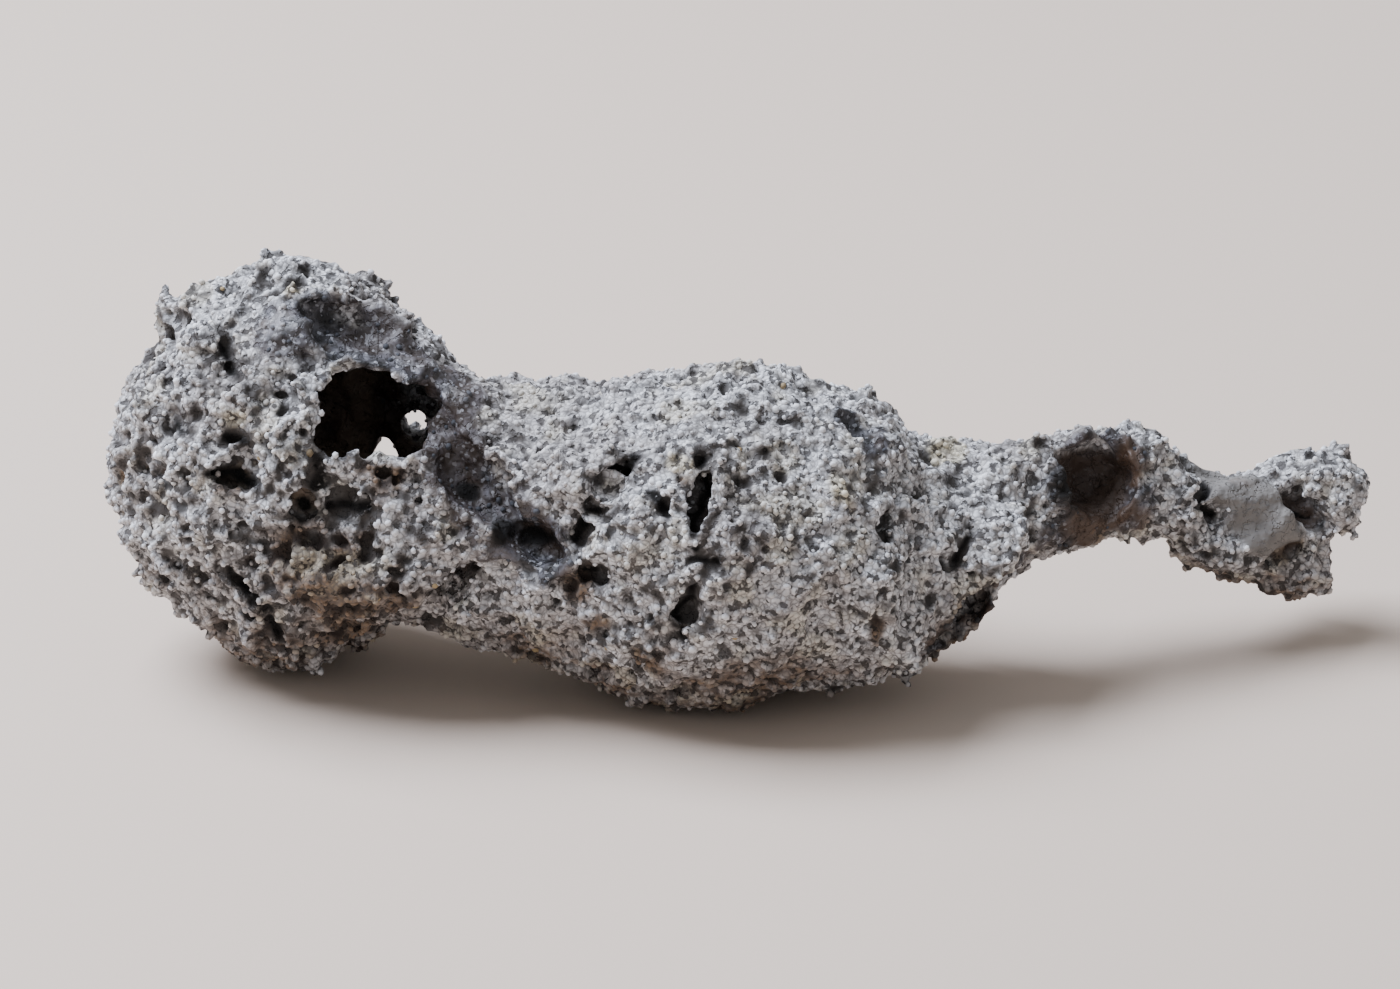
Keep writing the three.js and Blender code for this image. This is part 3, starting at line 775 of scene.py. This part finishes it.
def fused_sand_material(crust):
    """Lechatelierite crust: sand fused by lightning, rough and light grey, with dark glass and painted
    shade in its gaps, over the dark glass of the bore, which glints, with painted glints besides.
    """
    material, tree = new_material("fused quartz sand with bore glass")
    place = add(tree, "ShaderNodeTexCoord").outputs["Object"]
    # Noise moves the pattern of fine grains up to 0.3 mm aside, so that no two look alike.
    bend = add(tree, "ShaderNodeTexNoise", {"Vector": place, "Scale": GRAIN_BENDS}).outputs["Color"]
    moved = {0: bend, 1: (0.6 * MM,) * 3, 2: place}
    bent = add(tree, "ShaderNodeVectorMath", moved, operation="MULTIPLY_ADD").outputs[0]
    # Each fine grain has its own tone, a domed top, and painted shade in the crease round it.
    grains = {"Vector": bent, "Scale": FINE_GRAINS}
    cell = add(tree, "ShaderNodeTexVoronoi", grains)
    rim = add(tree, "ShaderNodeTexVoronoi", grains, feature="DISTANCE_TO_EDGE")
    dome = add(tree, "ShaderNodeTexVoronoi", grains, feature="SMOOTH_F1")
    tone = add(tree, "ShaderNodeSeparateColor", {"Color": cell.outputs["Color"]}).outputs[0]
    crease = ranged(tree, rim.outputs["Distance"], 0.0, 0.22, 0.70, 0.0)
    pore = add(tree, "ShaderNodeTexNoise", {"Vector": place, "Scale": PORES, "Detail": 2.0})
    pore = ranged(tree, pore.outputs["Fac"], 0.54, 0.60, 0.0, 0.85)
    sandy = sand_colour(tree, tone, crust.crust_colour)
    # Painted shade darkens the creases and pores, and plates are an even matt grey.
    sandy = mixed(tree, crease, sandy, linear("#565250"))
    sandy = mixed(tree, pore, sandy, linear("#2c2724"))
    sandy = mixed(tree, value_of(tree, "plate"), sandy, linear("#77736f"))
    # Soot clouds the glass, and a few tiny facets get a painted glint.
    soot = add(tree, "ShaderNodeTexNoise", {"Vector": place, "Scale": SOOT_CLOUDS, "Detail": 3.0})
    soot = ranged(tree, soot.outputs["Fac"], 0.42, 0.60, 0.0, 0.85)
    glassy = mixed(tree, tone, [*crust.glass_colour, 1.0], linear("#65646a"))
    glassy = mixed(tree, soot, glassy, linear("#141211"))
    painted_glint = add(tree, "ShaderNodeTexVoronoi", {"Vector": place, "Scale": GLASS_GLINTS})
    painted_glint = add(tree, "ShaderNodeSeparateColor", {"Color": painted_glint.outputs["Color"]}).outputs[1]
    painted_glint = ranged(tree, painted_glint, 0.86, 0.93, 0.0, 0.75)
    glassy = mixed(tree, painted_glint, glassy, linear("#a2a3a8"))
    # Brown soil, with painted warm bounce light low down, lies on it, and the bulb's hollow gets
    # patches of pale painted light.
    glassy = mixed(tree, value_of(tree, "soil"), glassy, linear("#4b3a2e"))
    glassy = mixed(tree, value_of(tree, "pale"), glassy, linear("#96826f"))
    # Gaps between the grains get dark glass with painted shade, browner with soil, and the dark places
    # are near black: painted shade in cracks, breaks and hollows, and one dark grain.
    surface = mixed(tree, value_of(tree, "glass"), sandy, glassy)
    in_gap = mixed(tree, value_of(tree, "soil"), [*crust.gap_colour, 1.0], linear("#2b211b"))
    surface = mixed(tree, value_of(tree, "gap"), surface, in_gap)
    surface = mixed(tree, value_of(tree, "dark"), surface, linear("#0f0c0a"))
    # The glass is smoother than the sand, and what is dark has no shine.
    rough = ranged(tree, value_of(tree, "glass"), 0.0, 1.0, 0.85, 0.55)
    rough = ranged(tree, value_of(tree, "dark"), 0.0, 1.0, rough, 0.95)
    height = number(tree, "SUBTRACT", number(tree, "SUBTRACT", 1.0, dome.outputs["Distance"]), pore)
    finish_material(tree, surface, rough, height, 0.28 * MM)
    return material


def sand_material(crust):
    """Quartz sand grains with a melted skin, half sunk in the crust; a few are honey-coloured."""
    material, tree = new_material("quartz sand grains")
    place = add(tree, "ShaderNodeTexCoord").outputs["Object"]
    tone = value_of(tree, "tone")
    sandy = sand_colour(tree, tone, crust.crust_colour)
    honey = number(tree, "GREATER_THAN", tone, 0.994)
    sandy = mixed(tree, honey, sandy, linear("#a08b68"))
    smoked = mixed(tree, value_of(tree, "glass"), sandy, linear("#3c3d42"))
    # Grains in the dark places take the same painted shade.
    smoked = mixed(tree, value_of(tree, "dark"), smoked, linear("#16120f"))
    fine = add(tree, "ShaderNodeTexNoise", {"Vector": place, "Scale": GRAIN_SKIN, "Detail": 1.0})
    finish_material(tree, smoked, 0.8, fine.outputs["Fac"], 0.08 * MM)
    return material


def scatter(tree, seed, low, high, kind="FLOAT"):
    """A random value for each grain."""
    # The node has a lowest, a highest and a result of its own for each kind of value.
    lowest, highest, result = {"FLOAT": (2, 3, 1), "FLOAT_VECTOR": (0, 1, 0)}[kind]
    limits = {"Seed": seed, lowest: low, highest: high}
    return add(tree, "FunctionNodeRandomValue", limits, data_type=kind).outputs[result]


# What both kinds of grain have in common.
MOST_GRAINS = 9.0  # to the square millimetre, before those that stand too close are left out
GRAIN_TURN = ((-0.2, -0.2, 0), (0.2, 0.2, math.tau))  # radians: a little tilt, and any turn


def strewn(tree, given, where, lift, size, shape):
    """Lumps strewn where an attribute is high.

    Each of the others is a lowest and a highest: the lift in mm, the size as a share of the tree's
    Width, and the shape as a share of the size along, across and up from the crust.
    """

    def seed(step):
        return number(tree, "ADD", given["Seed"], step)

    spots = add(
        tree,
        "GeometryNodeDistributePointsOnFaces",
        {
            "Mesh": given["Crust"],
            "Distance Min": given["Spacing"],
            "Density Max": MOST_GRAINS / MM**2,
            "Density Factor": add(tree, "GeometryNodeInputNamedAttribute", {"Name": where}).outputs[0],
            "Seed": seed(0),
        },
        distribute_method="POISSON",
    )
    off = add(
        tree,
        "ShaderNodeVectorMath",
        {0: spots.outputs["Normal"], "Scale": scatter(tree, seed(1), lift[0] * MM, lift[1] * MM)},
        operation="SCALE",
    )
    lifted = add(
        tree,
        "GeometryNodeSetPosition",
        {"Geometry": spots.outputs["Points"], "Offset": off.outputs[0]},
    )
    lump = add(tree, "GeometryNodeMeshIcoSphere", {"Radius": 0.5, "Subdivisions": 1})
    stretched = add(
        tree,
        "ShaderNodeVectorMath",
        {
            0: scatter(tree, seed(3), *shape, "FLOAT_VECTOR"),
            "Scale": number(tree, "MULTIPLY", given["Width"], scatter(tree, seed(2), *size)),
        },
        operation="SCALE",
    )
    turned = add(
        tree,
        "FunctionNodeRotateRotation",
        {
            "Rotation": spots.outputs["Rotation"],
            "Rotate By": scatter(tree, seed(4), *GRAIN_TURN, "FLOAT_VECTOR"),
        },
        rotation_space="LOCAL",
    )
    return add(
        tree,
        "GeometryNodeInstanceOnPoints",
        {
            "Points": lifted.outputs[0],
            "Instance": lump.outputs["Mesh"],
            "Rotation": turned.outputs[0],
            "Scale": stretched.outputs[0],
        },
    ).outputs[0]


def new_grain_tree(name):
    """A Geometry Nodes tree with the inputs of strewn grains, and those inputs."""
    tree = bpy.data.node_groups.new(name, "GeometryNodeTree")
    tree.is_modifier = True
    tree.interface.new_socket("Crust", in_out="INPUT", socket_type="NodeSocketGeometry")
    for socket in ("Width", "Spacing"):
        tree.interface.new_socket(socket, in_out="INPUT", socket_type="NodeSocketFloat")
    tree.interface.new_socket("Seed", in_out="INPUT", socket_type="NodeSocketInt")
    tree.interface.new_socket("Grains", in_out="OUTPUT", socket_type="NodeSocketGeometry")
    return tree, add(tree, "NodeGroupInput").outputs


def finish_tree(tree, geometry, material):
    """Makes instances real, shades them smooth and gives them their material."""
    real = add(tree, "GeometryNodeRealizeInstances", {"Geometry": geometry}).outputs[0]
    soft = add(tree, "GeometryNodeSetShadeSmooth", {"Geometry": real}).outputs[0]
    made = add(tree, "GeometryNodeSetMaterial", {"Geometry": soft, "Material": material})
    add(tree, "NodeGroupOutput", {"Grains": made.outputs[0]})
    return tree


def melted_grain_tree(material):
    """Strews large grains over the sunk floor and joins them to it, ready to be melted together."""
    tree, given = new_grain_tree("melted sand grains")
    shape = ((0.85, 0.85, 0.8), (1.45, 1.1, 1.1))
    grains = strewn(tree, given, "cover", (0.0, 0.36), (0.75, 1.4), shape)
    joined = add(tree, "GeometryNodeJoinGeometry")
    tree.links.new(given["Crust"], joined.inputs[0])
    tree.links.new(grains, joined.inputs[0])
    return finish_tree(tree, joined.outputs[0], material)


def loose_grain_tree(material):
    """Strews small grains, half sunk, over the finished crust."""
    tree, given = new_grain_tree("quartz sand grains")
    shape = ((0.85, 0.85, 0.8), (1.35, 1.15, 1.1))
    grains = strewn(tree, given, "sand", (-0.12, 0.06), (0.7, 1.4), shape)
    tone = scatter(tree, number(tree, "ADD", given["Seed"], 9), 0.0, 1.0)
    toned = add(
        tree,
        "GeometryNodeStoreNamedAttribute",
        {"Geometry": grains, "Name": "tone", "Value": tone},
        data_type="FLOAT",
        domain="INSTANCE",
    )
    return finish_tree(tree, toned.outputs[0], material)


def set_inputs(modifier, values):
    """Gives a Geometry Nodes modifier its inputs, each by its socket's identifier."""
    sockets = modifier.node_group.interface.items_tree
    names = {socket.name: socket.identifier for socket in sockets if socket.in_out == "INPUT"}
    for name, value in values.items():
        modifier[names[name]] = value


def add_grains(thing, tree, width, spacing, seed):
    """Gives an object the modifier that strews grains on it."""
    modifier = thing.modifiers.new("strewn grains", "NODES")
    modifier.node_group = tree
    set_inputs(modifier, {"Width": width, "Spacing": spacing, "Seed": seed})


def finish_piece(piece):
    """Checks a finished piece and fixes it to the one body."""
    if not piece.data.polygons:
        raise RuntimeError(f"{piece.name} came out empty")
    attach(piece, BODY)


class FULGURITE_OT_crust(bpy.types.Operator):
    """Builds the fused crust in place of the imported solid, in one piece for each stretch"""

    bl_idname = "fulgurite.crust"
    bl_label = "Fused crust"

    def execute(self, context):
        crust = context.scene.fulgurite_crust
        grains = context.scene.fulgurite_grains
        material = fused_sand_material(crust)
        blank = rounded_solid()
        reach = sink_floor(blank.data, crust)
        faces = [list(face.vertices) for face in blank.data.polygons]
        outline = BVHTree.FromPolygons(reach.tolist(), faces)
        tree = melted_grain_tree(material)
        add_grains(blank, tree, grains.melted_width, grains.melted_spacing, grains.seed)
        melt = blank.modifiers.new("melted together", "REMESH")
        melt.mode, melt.voxel_size, melt.use_smooth_shade = "VOXEL", crust.facet, True
        soften = blank.modifiers.new("rounding", "SMOOTH")
        soften.factor, soften.iterations = 0.5, MELT_SMOOTHING
        fused = baked(blank, "fused_crust")
        mark_crust(fused.data, outline)
        for name, (start, end) in STRETCHES.items():
            piece = stretch_of(fused, name, start, end)
            piece.data.materials.append(material)
            finish_piece(piece)
            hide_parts(NODE)
        bpy.data.objects.remove(fused)
        return {"FINISHED"}


class FULGURITE_OT_grains(bpy.types.Operator):
    """Strews small loose grains over each stretch of the fused crust"""

    bl_idname = "fulgurite.grains"
    bl_label = "Loose grains"

    def execute(self, context):
        grains = context.scene.fulgurite_grains
        tree = loose_grain_tree(sand_material(context.scene.fulgurite_crust))
        for place, name in enumerate(STRETCHES):
            crust = bpy.data.objects.get(name)
            if crust is None:
                raise RuntimeError("the loose grains need the fused crust: make it first")
            blank = new_object("grains_blank", crust.data.copy())
            seed = grains.seed + SEEDS_APART * place
            add_grains(blank, tree, grains.loose_width, grains.loose_spacing, seed)
            finish_piece(baked(blank, name.replace("crust", "grains")))
        return {"FINISHED"}


class FULGURITE_OT_stage(bpy.types.Operator):
    """Makes the floor, the lights and the camera"""

    bl_idname = "fulgurite.stage"
    bl_label = "Stage"

    def execute(self, context):
        stage = context.scene.fulgurite_stage
        make_floor(stage)
        make_lights(stage)
        make_camera(stage)
        return {"FINISHED"}


# The stage's places and sizes, in metres.
FLOOR_HALF = 3.0
LIGHT_AT, LIGHT_AIM = (-0.34, 0.09, 0.58), (-0.005, 0.0, 0.015)
LIGHT_SIZE = (0.55, 0.40)
CAMERA_TARGET = np.array([-3.90, -1.15, 18.75]) * MM
CAMERA_ELEVATION = math.radians(22)
VIEW_WIDTH = 132.1 * MM  # what the picture's width spans at the piece


def make_floor(stage):
    """A plain pale floor, wider than any view."""
    half = FLOOR_HALF
    corners = [(-half, -half, 0), (half, -half, 0), (half, half, 0), (-half, half, 0)]
    mesh = bpy.data.meshes.new("floor")
    mesh.from_pydata(corners, [], [(0, 1, 2, 3)])
    floor = new_object("floor", mesh)
    material, tree = new_material("matt paper")
    matt = {"Base Color": [*stage.floor_colour, 1.0], "Roughness": 0.95}
    shader = add(tree, "ShaderNodeBsdfPrincipled", matt)
    add(tree, "ShaderNodeOutputMaterial", {"Surface": shader.outputs["BSDF"]})
    mesh.materials.append(material)


def make_lights(stage):
    """Even light from all round, and one large soft box."""
    world = bpy.data.worlds.new("even light")
    bpy.context.scene.world = world
    world.use_nodes = True
    world.node_tree.nodes.clear()
    glow = {"Color": linear("#eef1f7"), "Strength": stage.sky}
    back = add(world.node_tree, "ShaderNodeBackground", glow)
    add(world.node_tree, "ShaderNodeOutputWorld", {"Surface": back.outputs[0]})
    # A large soft box over the piece, to the left and a little behind it, slightly cool.
    light = bpy.data.lights.new("soft box", "AREA")
    light.shape = "RECTANGLE"
    light.size, light.size_y = LIGHT_SIZE
    light.energy, light.color = stage.key_power, linear("#e6eeff")[:3]
    box = new_object("soft box", light)
    aim(box, LIGHT_AT, LIGHT_AIM)


def aim(thing, where, at):
    """Puts a light or a camera somewhere and turns it towards a point."""
    thing.location = where
    thing.rotation_euler = (Vector(at) - Vector(where)).to_track_quat("-Z", "Y").to_euler()


def make_camera(stage):
    """A long lens, so far back that the picture's width spans VIEW_WIDTH at the piece."""
    camera = bpy.data.cameras.new("camera")
    camera.lens, camera.sensor_width = stage.camera_lens, 36.0
    away = VIEW_WIDTH * stage.camera_lens / camera.sensor_width
    holder = new_object("camera", camera)
    back = np.array([0, -math.cos(CAMERA_ELEVATION), math.sin(CAMERA_ELEVATION)])
    aim(holder, tuple(CAMERA_TARGET + away * back), tuple(CAMERA_TARGET))
    camera.clip_start, camera.clip_end = 0.01, 20.0
    bpy.context.scene.camera = holder


class FULGURITE_PT_sidebar(bpy.types.Panel):
    """Each step's button, with its settings under it"""

    bl_label = "Fulgurite"
    bl_idname = "FULGURITE_PT_sidebar"
    bl_space_type = "VIEW_3D"
    bl_region_type = "UI"
    bl_category = "Fulgurite"

    def draw(self, context):
        for operator, settings in STEPS.items():
            box = self.layout.box()
            box.operator(operator.bl_idname)
            group = getattr(context.scene, settings)
            for name in group.bl_rna.properties.keys():
                if name not in ("rna_type", "name"):
                    box.prop(group, name)


STEPS = {
    FULGURITE_OT_crust: "fulgurite_crust",
    FULGURITE_OT_grains: "fulgurite_grains",
    FULGURITE_OT_stage: "fulgurite_stage",
}
GROUPS = {
    "fulgurite_crust": FusedCrustSettings,
    "fulgurite_grains": SandGrainSettings,
    "fulgurite_stage": StageSettings,
}
CLASSES = (*GROUPS.values(), *STEPS, FULGURITE_PT_sidebar)


def register():
    """Adds the settings, the operators and the panel to Blender."""
    for kind in CLASSES:
        bpy.utils.register_class(kind)
    for name, group in GROUPS.items():
        setattr(bpy.types.Scene, name, PointerProperty(type=group))


def unregister():
    """Takes them out again."""
    for name in GROUPS:
        delattr(bpy.types.Scene, name)
    for kind in reversed(CLASSES):
        bpy.utils.unregister_class(kind)


def main():
    """Builds the piece and its stage."""
    register()
    bpy.ops.fulgurite.crust()
    bpy.ops.fulgurite.grains()
    bpy.ops.fulgurite.stage()


if __name__ == "__main__":
    main()
